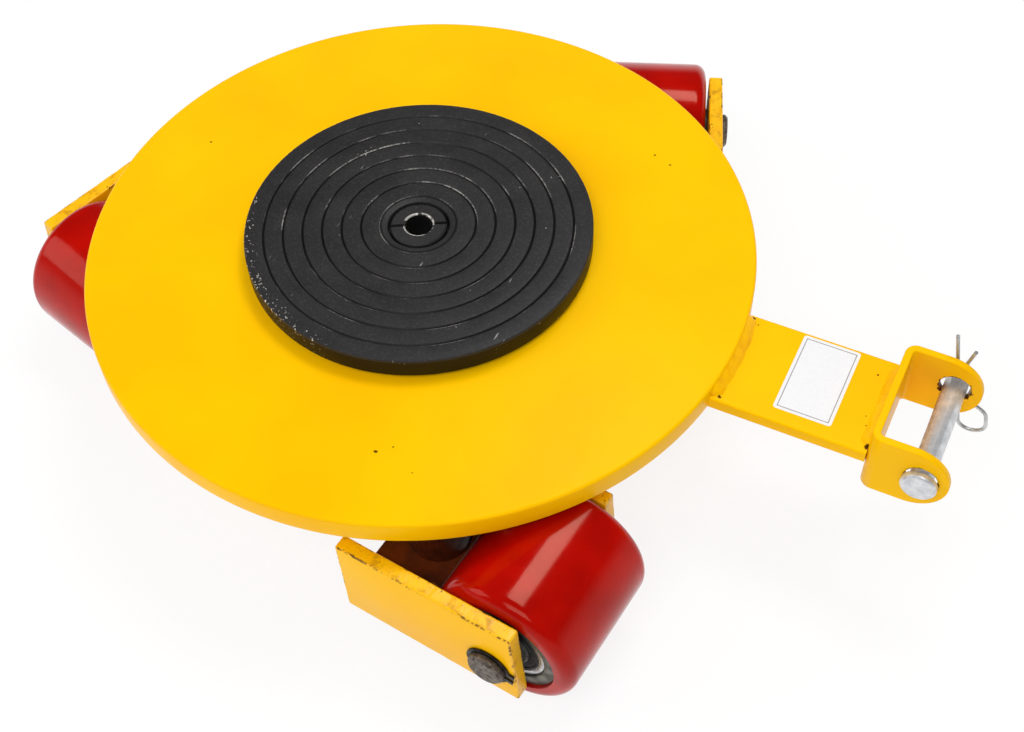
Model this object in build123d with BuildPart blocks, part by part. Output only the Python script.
from build123d import *

import os
from math import asin, cos, degrees, radians, sin

os.makedirs("parts", exist_ok=True)

# A three-wheel machine skate: a round deck on three swivel casters, with a turntable on top and a
# drawbar with a clevis. All sizes are in millimetres. The origin is on the floor, under the axis of
# the turntable. X runs along the drawbar and Z is up.

# Rollers
roller_diameter = 80.0
tyre_width = 76.0
tyre_thickness = 10.0
shoulder_size = 7.0
sleeve_setback = 2.0
bearing_outer_diameter = 47.0
bearing_width = 14.0
bearing_setback = 1.0
outer_ring_thickness = 3.5
inner_ring_thickness = 4.3
spacer_step = 1.0
shield_recess = 0.8
running_clearance = 0.1

# Axles of the rollers
axle_diameter = 20.0
axle_overhang = 5.0
axle_chamfer = 1.5
circlip_thickness = 1.2
circlip_width = 2.6
circlip_groove_depth = 0.5
circlip_groove_play = 0.15
circlip_lug_width = 8.0
circlip_lug_height = 2.5
circlip_mouth = 3.0
axle_circlip_turn = -8.0

# Forks of the casters
caster_trail = 60.0
roller_side_clearance = 2.0
fork_plate_thickness = 8.0
fork_plate_clearance_floor = 18.5
fork_plate_clearance_deck = 10.0
fork_back_reach = 27.5
fork_back_slant = 1.5
fork_beyond_axle = 12.6
fork_front_slant = 4.2
fork_corner_radius = 1.5
fork_weld_leg = 5.0

# Swivels
kingpin_diameter = 20.0
kingpin_edge_distance = 30.0
kingpin_plug_depth = 9.0
kingpin_end_height = 16.0
kingpin_chamfer = 1.5
swivel_bush_wall = 2.0
swivel_bush_length = 15.0
swivel_bush_clearance = 0.05
hub_wall = 4.0
hub_collar_step = 2.0
hub_collar_height = 6.0
hub_bottom = 24.0
crosspiece_height = 16.0
crosspiece_back_reach = 22.0
crosspiece_roller_gap = 3.0
race_thickness = 3.0
race_width = 7.5
ball_cage_height = 4.0
ball_cage_clearance = 0.2
ball_cage_step = 1.0
kingpin_washer_thickness = 3.0
kingpin_washer_width = 8.0
swivel_play = 0.2
kingpin_circlip_thickness = 1.5
kingpin_circlip_width = 5.0
kingpin_groove_depth = 1.0

# Deck
deck_diameter = 360.0
deck_thickness = 14.0
deck_edge_chamfer = 1.2
roller_deck_clearance = 3.0

# Turntable
pad_diameter = 186.0
pad_thickness = 11.5
pad_edge_chamfer = 1.0
pad_groove_count = 7
pad_groove_width = 1.8
pad_groove_depth = 0.9
pad_lip_diameter = 40.4
pad_lip_depth = 0.6
pad_recess_diameter = 33.0
thrust_washer_thickness = 2.0
thrust_washer_diameter = 164.0
thrust_washer_bore = 40.0
pivot_shank_diameter = 24.0
pivot_head_diameter = 30.0
pivot_head_height = 6.0
pivot_head_sink = 0.3
pivot_head_chamfer = 0.8
pivot_bore_diameter = 14.6
pivot_bore_chamfer = 0.8
pivot_slot_width = 1.8
pivot_slot_depth = 2.0
pivot_slot_angle = 29.0
pivot_play = 0.2
pad_bush_wall = 2.0
pad_bush_clearance = 0.05

# Drawbar and clevis
drawbar_width = 60.0
drawbar_thickness = 8.0
drawbar_reach = 78.5
drawbar_edge_radius = 1.5
weld_leg = 4.8
weld_end_setback = 2.0
yoke_height = 40.0
yoke_thickness = 4.0
yoke_outer_width = 64.0
yoke_bend_radius = 6.0
yoke_hole_reach = 28.0
yoke_hole_rise = 1.6
yoke_hole_diameter = 16.0
yoke_ear_length = 42.0

# Clevis pin and its hairpin clip
pin_diameter = 12.0
pin_rest_gap = 0.3
pin_head_diameter = 18.0
pin_head_height = 3.5
pin_head_standoff = 1.0
pin_end_beyond_clip = 5.0
pin_chamfer = 1.0
pin_turn = 11.5
clip_wire_diameter = 2.0
clip_hole_clearance = 0.2
clip_ear_gap = 2.0
clip_leg_above_pin = 33.0
clip_leg_below_pin = 36.5
clip_loop_width = 14.4
clip_loop_radius = 6.8
clip_loop_top = 21.5
clip_neck = 4.4
clip_neck_below_pin = 12.5
clip_neck_radius = 6.0
clip_grip = 8.9
clip_grip_above_middle = 0.3
clip_grip_radius = 6.0
clip_throat_above_pin = 13.5
clip_throat_radius = 5.0
clip_tip = 9.0
clip_tip_above_pin = 23.5

# Heights and radii that follow from the sizes above
roller_radius = roller_diameter / 2
axle_height = roller_radius
axle_radius = axle_diameter / 2
deck_radius = deck_diameter / 2
deck_bottom = roller_diameter + roller_deck_clearance
deck_top = deck_bottom + deck_thickness
pad_radius = pad_diameter / 2
pad_bottom = deck_top + thrust_washer_thickness
pad_top = pad_bottom + pad_thickness
pivot_head_top = pad_top - pivot_head_sink
pivot_head_bottom = pivot_head_top - pivot_head_height
pad_recess_floor = pivot_head_bottom - pivot_play
kingpin_radius = kingpin_diameter / 2
hub_bore_radius = kingpin_radius + swivel_bush_clearance + swivel_bush_wall
hub_radius = hub_bore_radius + hub_wall
hub_top = deck_bottom - race_thickness - ball_cage_height
sleeve_radius = roller_radius - tyre_thickness
sleeve_half_length = tyre_width / 2 - sleeve_setback
bearing_radius = bearing_outer_diameter / 2
bearing_outer_face = sleeve_half_length - bearing_setback
bearing_inner_face = bearing_outer_face - bearing_width
inner_ring_radius = axle_radius + inner_ring_thickness
fork_inside_half = tyre_width / 2 + roller_side_clearance
fork_outside_half = fork_inside_half + fork_plate_thickness
fork_plate_top = deck_bottom - fork_plate_clearance_deck
crosspiece_front_reach = caster_trail - roller_radius - crosspiece_roller_gap
axle_half_length = fork_outside_half + circlip_groove_play + axle_overhang
yoke_web = deck_radius + drawbar_reach
yoke_half = yoke_outer_width / 2
yoke_middle = deck_bottom + drawbar_thickness / 2
yoke_hole_x = yoke_web + yoke_hole_reach
yoke_hole_height = yoke_middle + yoke_hole_rise
pin_radius = pin_diameter / 2
pin_height = yoke_hole_height - yoke_hole_diameter / 2 + pin_radius + pin_rest_gap
clip_wire_radius = clip_wire_diameter / 2
clip_side = yoke_half + clip_ear_gap + clip_wire_radius

# Each caster's name, where its kingpin stands round the deck, and which way it trails at rest,
# both in degrees from the drawbar
casters = [("right", -60.0, -6.7), ("left", 60.0, 111.0), ("rear", 180.0, -105.8)]


def pivot_plane(kingpin_angle, trailing_angle):
    """The floor under a kingpin, with X the way that the caster trails."""
    circle_radius = deck_radius - kingpin_edge_distance
    return Plane(
        origin=(
            circle_radius * cos(radians(kingpin_angle)),
            circle_radius * sin(radians(kingpin_angle)),
            0,
        ),
        x_dir=(cos(radians(trailing_angle)), sin(radians(trailing_angle)), 0),
        z_dir=(0, 0, 1),
    )


def roller_plane(pivot):
    """The middle plane of a roller, with its axle along Z and up along Y."""
    return Plane(
        origin=pivot.from_local_coords((caster_trail, 0, axle_height)),
        x_dir=pivot.x_dir,
        z_dir=-pivot.y_dir,
    )


def mirrored_starts(plane, distance, length):
    """The two planes from which a pair of equal pieces grows, one on each side of a plane."""
    return [plane.offset(distance), plane.offset(-distance - length)]


def make_rings(starts, inner_radius, outer_radius, length):
    """Equal plain rings, one on each of the planes."""
    with BuildPart() as rings:
        with BuildSketch(*starts):
            Circle(outer_radius)
            Circle(inner_radius, mode=Mode.SUBTRACT)
        extrude(amount=length)
    return rings


def make_circlips(starts, inner_radius, outer_radius, thickness, mouth_angle):
    """Open retaining rings with two lugs beside their mouth, one on each of the planes."""
    mouth_side = Rot(0, 0, mouth_angle)
    with BuildPart() as circlips:
        with BuildSketch(*starts):
            Circle(outer_radius)
            with Locations(mouth_side * Pos(outer_radius, 0)):
                Rectangle(circlip_lug_height * 2, circlip_lug_width)
            Circle(inner_radius, mode=Mode.SUBTRACT)
            with Locations(mouth_side * Pos(outer_radius, 0)):
                Rectangle(outer_radius * 2, circlip_mouth, mode=Mode.SUBTRACT)
        extrude(amount=thickness)
    return circlips


def save(builder, name):
    """Label a finished piece and write its STEP file."""
    builder.part.label = name
    export_step(builder.part, f"parts/{name}.step")


pivots = {name: pivot_plane(place, trailing) for name, place, trailing in casters}

# Deck plate: a disc with a threaded hole for the pivot screw and a blind bore for each kingpin
with BuildPart() as deck_plate:
    with BuildSketch(Plane.XY.offset(deck_bottom)):
        Circle(deck_radius)
    extrude(amount=deck_thickness)
    chamfer(deck_plate.edges().filter_by(GeomType.CIRCLE), deck_edge_chamfer)
    with BuildSketch(Plane.XY.offset(deck_bottom)):
        Circle(pivot_shank_diameter / 2)
    extrude(amount=deck_thickness, mode=Mode.SUBTRACT)
    with BuildSketch(*[pivot.offset(deck_bottom) for pivot in pivots.values()]):
        Circle(kingpin_radius)
    extrude(amount=kingpin_plug_depth, mode=Mode.SUBTRACT)
save(deck_plate, "deck_plate")

# Drawbar: a flat bar whose root follows the round rim of the deck
with BuildPart() as drawbar:
    with BuildSketch(Plane.XY.offset(deck_bottom)):
        with Locations((yoke_web / 2, 0)):
            Rectangle(yoke_web, drawbar_width)
    extrude(amount=drawbar_thickness)
    fillet(drawbar.edges().filter_by(Axis.X), drawbar_edge_radius)
    with BuildSketch(Plane.XY.offset(deck_bottom)):
        Circle(deck_radius)
    extrude(amount=drawbar_thickness, mode=Mode.SUBTRACT)
save(drawbar, "drawbar")

# Clevis yoke: a flat bar bent to a U, its two ears rounded about the pin hole
ear_radius = yoke_height / 2
ear_end = yoke_web + yoke_ear_length
ear_arc_x = ear_end - ear_radius
with BuildPart() as clevis_yoke:
    with BuildSketch(Plane.XY.offset(yoke_middle)):
        with BuildLine():
            outer_bend = FilletPolyline(
                (ear_end, -yoke_half),
                (yoke_web, -yoke_half),
                (yoke_web, yoke_half),
                (ear_end, yoke_half),
                radius=yoke_bend_radius,
            )
            Line(outer_bend @ 1, outer_bend @ 0)
        make_face()
        with BuildLine():
            inner_bend = FilletPolyline(
                (ear_end, yoke_thickness - yoke_half),
                (yoke_web + yoke_thickness, yoke_thickness - yoke_half),
                (yoke_web + yoke_thickness, yoke_half - yoke_thickness),
                (ear_end, yoke_half - yoke_thickness),
                radius=yoke_bend_radius - yoke_thickness,
            )
            Line(inner_bend @ 1, inner_bend @ 0)
        make_face(mode=Mode.SUBTRACT)
    extrude(amount=ear_radius, both=True)
    with BuildSketch(Plane.XZ):
        with Locations(((yoke_web + ear_arc_x) / 2, yoke_middle)):
            Rectangle(ear_arc_x - yoke_web, yoke_height)
        with Locations((ear_arc_x, yoke_middle)):
            Circle(ear_radius)
    extrude(amount=yoke_outer_width, both=True, mode=Mode.INTERSECT)
    with BuildSketch(Plane.XZ):
        with Locations((yoke_hole_x, yoke_hole_height)):
            Circle(yoke_hole_diameter / 2)
    extrude(amount=yoke_outer_width, both=True, mode=Mode.SUBTRACT)
save(clevis_yoke, "clevis_yoke")

# Fillet welds: one along the step at the rim, and one above and one below the bar at the yoke
drawbar_top = deck_bottom + drawbar_thickness
rim_weld_half = drawbar_width / 2 - weld_end_setback
rim_weld_angle = degrees(asin(rim_weld_half / deck_radius))
yoke_weld_half = yoke_half - yoke_bend_radius
with BuildPart() as drawbar_welds:
    with BuildSketch(Plane.XZ.rotated((0, 0, -rim_weld_angle))):
        with BuildLine():
            Polyline(
                (deck_radius, drawbar_top),
                (deck_radius + weld_leg, drawbar_top),
                (deck_radius, drawbar_top + weld_leg),
                close=True,
            )
        make_face()
    revolve(axis=Axis.Z, revolution_arc=rim_weld_angle * 2)
    with BuildSketch(Plane.XZ):
        for bar_face, leg in ((drawbar_top, weld_leg), (deck_bottom, -weld_leg)):
            with BuildLine():
                Polyline(
                    (yoke_web, bar_face),
                    (yoke_web - weld_leg, bar_face),
                    (yoke_web, bar_face + leg),
                    close=True,
                )
            make_face()
    extrude(amount=yoke_weld_half, both=True)
save(drawbar_welds, "drawbar_welds")

# Pivot screw: hollow, with a slotted head that lies in the turntable's recess
with BuildPart() as pivot_screw:
    with BuildSketch(Plane.XY.offset(deck_bottom)):
        Circle(pivot_shank_diameter / 2)
    extrude(amount=pivot_head_bottom - deck_bottom)
    with BuildSketch(Plane.XY.offset(pivot_head_bottom)):
        Circle(pivot_head_diameter / 2)
    extrude(amount=pivot_head_height)
    top_edge = pivot_screw.edges().filter_by(GeomType.CIRCLE).sort_by(Axis.Z)[-1]
    chamfer(top_edge, pivot_head_chamfer)
    with BuildSketch(Plane.XY.offset(deck_bottom)):
        Circle(pivot_bore_diameter / 2)
    extrude(amount=pivot_head_top - deck_bottom, mode=Mode.SUBTRACT)
    mouth_edge = pivot_screw.edges().filter_by(GeomType.CIRCLE).group_by(Axis.Z)[-1].sort_by(SortBy.RADIUS)[0]
    chamfer(mouth_edge, pivot_bore_chamfer)
    with BuildSketch(Plane.XY.offset(pivot_head_top)):
        Rectangle(pivot_head_diameter + 1, pivot_slot_width, rotation=pivot_slot_angle)
    extrude(amount=-pivot_slot_depth, mode=Mode.SUBTRACT)
save(pivot_screw, "pivot_screw")

# Thrust washer between the deck and the turntable
turntable_thrust_washer = make_rings(
    [Plane.XY.offset(deck_top)],
    thrust_washer_bore / 2,
    thrust_washer_diameter / 2,
    thrust_washer_thickness,
)
save(turntable_thrust_washer, "turntable_thrust_washer")

# Kingpins: plugged into the deck, each with a groove for its circlip
kingpin_washer_top = hub_bottom - swivel_play
kingpin_washer_bottom = kingpin_washer_top - kingpin_washer_thickness
kingpin_groove_bottom = kingpin_washer_bottom - kingpin_circlip_thickness
with BuildPart() as kingpins:
    with BuildSketch(*[pivot.offset(kingpin_end_height) for pivot in pivots.values()]):
        Circle(kingpin_radius)
    extrude(amount=deck_bottom + kingpin_plug_depth - kingpin_end_height)
    chamfer(kingpins.edges().filter_by(GeomType.CIRCLE).group_by(Axis.Z)[0], kingpin_chamfer)
    with BuildSketch(*[pivot.offset(kingpin_groove_bottom) for pivot in pivots.values()]):
        Circle(kingpin_diameter)
        Circle(kingpin_radius - kingpin_groove_depth, mode=Mode.SUBTRACT)
    extrude(amount=kingpin_circlip_thickness, mode=Mode.SUBTRACT)
save(kingpins, "kingpins")

# What holds and carries each swivel: upper race, ball cage, washer and circlip on each kingpin
race_radius = kingpin_radius + race_width
upper_races = make_rings(
    [pivot.offset(deck_bottom - race_thickness) for pivot in pivots.values()],
    kingpin_radius,
    race_radius,
    race_thickness,
)
save(upper_races, "upper_races")

ball_cages = make_rings(
    [pivot.offset(hub_top + ball_cage_clearance) for pivot in pivots.values()],
    kingpin_radius + ball_cage_step,
    race_radius - ball_cage_step,
    ball_cage_height - ball_cage_clearance * 2,
)
save(ball_cages, "ball_cages")

kingpin_washers = make_rings(
    [pivot.offset(kingpin_washer_bottom) for pivot in pivots.values()],
    kingpin_radius,
    kingpin_radius + kingpin_washer_width,
    kingpin_washer_thickness,
)
save(kingpin_washers, "kingpin_washers")

kingpin_circlips = make_circlips(
    [pivot.offset(kingpin_groove_bottom) for pivot in pivots.values()],
    kingpin_radius - kingpin_groove_depth,
    kingpin_radius - kingpin_groove_depth + kingpin_circlip_width,
    kingpin_circlip_thickness,
    0,
)
save(kingpin_circlips, "kingpin_circlips")

# Turntable pad: a turned disc with evenly spaced V grooves and a stepped recess in the middle
pad_bush_radius = pivot_shank_diameter / 2 + pad_bush_clearance + pad_bush_wall
groove_pitch = (pad_radius - pad_lip_diameter / 2) / pad_groove_count
with BuildPart() as turntable_pad:
    with BuildSketch(Plane.XZ):
        with BuildLine():
            Polyline(
                (pad_bush_radius, pad_bottom),
                (pad_radius, pad_bottom),
                (pad_radius, pad_top - pad_edge_chamfer),
                (pad_radius - pad_edge_chamfer, pad_top),
                (pad_lip_diameter / 2, pad_top),
                (pad_recess_diameter / 2, pad_top - pad_lip_depth),
                (pad_recess_diameter / 2, pad_recess_floor),
                (pad_bush_radius, pad_recess_floor),
                close=True,
            )
        make_face()
        for number in range(pad_groove_count):
            groove_radius = pad_lip_diameter / 2 + groove_pitch * number
            with BuildLine():
                Polyline(
                    (groove_radius - pad_groove_width / 2, pad_top),
                    (groove_radius, pad_top - pad_groove_depth),
                    (groove_radius + pad_groove_width / 2, pad_top),
                    close=True,
                )
            make_face(mode=Mode.SUBTRACT)
    revolve(axis=Axis.Z)
save(turntable_pad, "turntable_pad")

# Bronze bush of the turntable
turntable_bush = make_rings(
    [Plane.XY.offset(pad_bottom)],
    pivot_shank_diameter / 2 + pad_bush_clearance,
    pad_bush_radius,
    pad_recess_floor - pad_bottom,
)
save(turntable_bush, "turntable_bush")


def make_fork_plates(roller):
    """The two side plates of a caster, flame-cut a little out of square and bored for the axle."""
    back = -caster_trail - fork_back_reach
    bottom = fork_plate_clearance_floor - axle_height
    top = fork_plate_top - axle_height
    with BuildPart() as fork_plates:
        with BuildSketch(*mirrored_starts(roller, fork_inside_half, fork_plate_thickness)) as outline:
            with BuildLine():
                Polyline(
                    (back, top),
                    (back + fork_back_slant, bottom),
                    (fork_beyond_axle + fork_front_slant, bottom),
                    (fork_beyond_axle, top),
                    close=True,
                )
            make_face()
            fillet(outline.vertices(), fork_corner_radius)
            Circle(axle_radius, mode=Mode.SUBTRACT)
        extrude(amount=fork_plate_thickness)
    return fork_plates


def make_crosspiece(pivot):
    """The flat bar between the fork plates, bored for the swivel hub."""
    length = crosspiece_back_reach + crosspiece_front_reach
    with BuildPart() as crosspiece:
        with BuildSketch(pivot.offset(hub_bottom)):
            with Locations((crosspiece_front_reach - length / 2, 0)):
                Rectangle(length, fork_inside_half * 2)
            Circle(hub_radius, mode=Mode.SUBTRACT)
        extrude(amount=crosspiece_height)
    return crosspiece


def make_swivel_hub(pivot):
    """The tube that turns on the kingpin. The top of its collar is the lower race of the balls."""
    with BuildPart() as swivel_hub:
        with BuildSketch(pivot.offset(hub_bottom)):
            Circle(hub_radius)
        extrude(amount=hub_top - hub_bottom)
        with BuildSketch(pivot.offset(hub_top - hub_collar_height)):
            Circle(hub_radius + hub_collar_step)
        extrude(amount=hub_collar_height)
        with BuildSketch(pivot.offset(hub_bottom)):
            Circle(hub_bore_radius)
        extrude(amount=hub_top - hub_bottom, mode=Mode.SUBTRACT)
    return swivel_hub


def make_fork_welds(pivot):
    """Fillet welds along the top of the crosspiece, in the corners with the fork plates."""
    length = crosspiece_back_reach + crosspiece_front_reach
    crosspiece_top = hub_bottom + crosspiece_height
    weld_end = Plane(
        origin=pivot.from_local_coords((-crosspiece_back_reach, 0, crosspiece_top)),
        x_dir=pivot.y_dir,
        z_dir=pivot.x_dir,
    )
    with BuildPart() as fork_welds:
        with BuildSketch(weld_end):
            for side in (-1, 1):
                with BuildLine():
                    Polyline(
                        (side * fork_inside_half, 0),
                        (side * (fork_inside_half - fork_weld_leg), 0),
                        (side * fork_inside_half, fork_weld_leg),
                        close=True,
                    )
                make_face()
        extrude(amount=length)
    return fork_welds


def make_roller_axle(roller):
    """The fixed axle, chamfered at its ends and grooved outside the fork plates."""
    groove_start = fork_outside_half + circlip_groove_play
    with BuildPart() as roller_axle:
        with BuildSketch(roller):
            Circle(axle_radius)
        extrude(amount=axle_half_length, both=True)
        chamfer(roller_axle.edges().filter_by(GeomType.CIRCLE), axle_chamfer)
        with BuildSketch(*mirrored_starts(roller, groove_start, circlip_thickness)):
            Circle(axle_diameter)
            Circle(axle_radius - circlip_groove_depth, mode=Mode.SUBTRACT)
        extrude(amount=circlip_thickness, mode=Mode.SUBTRACT)
    return roller_axle


def make_tyre(roller):
    """The polyurethane tyre, with a rounded shoulder drawn as two flats."""
    half_width = tyre_width / 2
    flat = shoulder_size * (1 - cos(radians(45)))
    with BuildPart() as tyre:
        with BuildSketch(Plane(origin=roller.origin, x_dir=roller.x_dir, z_dir=roller.y_dir)):
            with BuildLine():
                Polyline(
                    (sleeve_radius, -half_width),
                    (roller_radius - shoulder_size, -half_width),
                    (roller_radius - flat, flat - half_width),
                    (roller_radius, shoulder_size - half_width),
                    (roller_radius, half_width - shoulder_size),
                    (roller_radius - flat, half_width - flat),
                    (roller_radius - shoulder_size, half_width),
                    (sleeve_radius, half_width),
                    close=True,
                )
            make_face()
        revolve(axis=Axis(roller.origin, roller.z_dir))
    return tyre


def make_sleeve(roller):
    """The steel sleeve inside the tyre, bored at both ends for its bearings."""
    with BuildPart() as sleeve:
        with BuildSketch(roller):
            Circle(sleeve_radius)
            Circle(bearing_radius - outer_ring_thickness, mode=Mode.SUBTRACT)
        extrude(amount=sleeve_half_length, both=True)
        seat_length = sleeve_half_length - bearing_inner_face
        with BuildSketch(*mirrored_starts(roller, bearing_inner_face, seat_length)):
            Circle(bearing_radius)
        extrude(amount=seat_length, mode=Mode.SUBTRACT)
    return sleeve


def make_outer_rings(roller):
    """The outer rings of the two sealed bearings, each with its shield set back."""
    with BuildPart() as outer_rings:
        with BuildSketch(*mirrored_starts(roller, bearing_inner_face, bearing_width)):
            Circle(bearing_radius)
            Circle(inner_ring_radius + running_clearance, mode=Mode.SUBTRACT)
        extrude(amount=bearing_width)
        with BuildSketch(*mirrored_starts(roller, bearing_outer_face - shield_recess, shield_recess)):
            Circle(bearing_radius - outer_ring_thickness)
        extrude(amount=shield_recess, mode=Mode.SUBTRACT)
    return outer_rings


# The three casters and their rollers
for name, place, trailing in casters:
    pivot = pivots[name]
    roller = roller_plane(pivot)

    save(make_fork_plates(roller), f"fork_plates_{name}")
    save(make_crosspiece(pivot), f"crosspiece_{name}")
    save(make_swivel_hub(pivot), f"swivel_hub_{name}")
    save(make_fork_welds(pivot), f"fork_welds_{name}")

    bush_starts = [pivot.offset(hub_bottom), pivot.offset(hub_top - swivel_bush_length)]
    hub_bushes = make_rings(
        bush_starts,
        kingpin_radius + swivel_bush_clearance,
        hub_bore_radius,
        swivel_bush_length,
    )
    save(hub_bushes, f"hub_bushes_{name}")

    save(make_roller_axle(roller), f"roller_axle_{name}")
    clip_starts = mirrored_starts(roller, fork_outside_half + circlip_groove_play, circlip_thickness)
    axle_circlips = make_circlips(
        clip_starts,
        axle_radius - circlip_groove_depth,
        axle_radius - circlip_groove_depth + circlip_width,
        circlip_thickness,
        axle_circlip_turn,
    )
    save(axle_circlips, f"axle_circlips_{name}")

    spacer_length = fork_inside_half - bearing_outer_face
    axle_spacers = make_rings(
        mirrored_starts(roller, bearing_outer_face, spacer_length),
        axle_radius,
        inner_ring_radius - spacer_step,
        spacer_length,
    )
    save(axle_spacers, f"axle_spacers_{name}")

    inner_rings = make_rings(
        mirrored_starts(roller, bearing_inner_face, bearing_width),
        axle_radius,
        inner_ring_radius,
        bearing_width,
    )
    save(inner_rings, f"bearing_inner_rings_{name}")

    save(make_tyre(roller), f"tyre_{name}")
    save(make_sleeve(roller), f"roller_sleeve_{name}")
    save(make_outer_rings(roller), f"bearing_outer_rings_{name}")

# The clip's own plane, beside the yoke's ear: its origin on the pin's axis and Y up along the clip
clip_plane = Plane(
    origin=(yoke_hole_x, clip_side, pin_height),
    x_dir=(cos(radians(pin_turn)), 0, sin(radians(pin_turn))),
    z_dir=(0, -1, 0),
)

# Clevis pin: a round head, a plain shank and a cross hole for the clip
pin_head_side = -yoke_half - pin_head_standoff
pin_end_side = clip_side + pin_end_beyond_clip
with BuildPart() as clevis_pin:
    with BuildSketch(Plane.XZ.offset(-pin_end_side)):
        with Locations((yoke_hole_x, pin_height)):
            Circle(pin_radius)
    extrude(amount=pin_end_side - pin_head_side)
    chamfer(clevis_pin.edges().filter_by(GeomType.CIRCLE).sort_by(Axis.Y)[-1], pin_chamfer)
    with BuildSketch(Plane.XZ.offset(-pin_head_side)):
        with Locations((yoke_hole_x, pin_height)):
            Circle(pin_head_diameter / 2)
    extrude(amount=pin_head_height)
    chamfer(clevis_pin.edges().filter_by(GeomType.CIRCLE).sort_by(Axis.Y)[0], pin_chamfer)
    with BuildSketch(Plane(origin=clip_plane.origin, x_dir=clip_plane.x_dir, z_dir=clip_plane.y_dir)):
        Circle(clip_wire_radius + clip_hole_clearance)
    extrude(amount=pin_diameter, both=True, mode=Mode.SUBTRACT)
save(clevis_pin, "clevis_pin")

# Hairpin clip: a straight leg through the pin, a round loop below, and a leg that hugs the pin
with BuildPart() as hairpin_clip:
    with BuildLine(clip_plane) as clip_path:
        FilletPolyline(
            (0, clip_leg_above_pin),
            (0, -clip_leg_below_pin),
            (clip_loop_width, -clip_leg_below_pin),
            (clip_loop_width, -clip_loop_top),
            (clip_neck, -clip_neck_below_pin),
            (clip_grip, clip_grip_above_middle),
            (clip_neck, clip_throat_above_pin),
            (clip_tip, clip_tip_above_pin),
            radius=[
                clip_loop_radius,
                clip_loop_radius,
                clip_loop_radius,
                clip_neck_radius,
                clip_grip_radius,
                clip_throat_radius,
            ],
        )
    with BuildSketch(Plane(origin=clip_path.line @ 0, z_dir=clip_path.line % 0)):
        Circle(clip_wire_radius)
    sweep(path=clip_path.line)
save(hairpin_clip, "hairpin_clip")
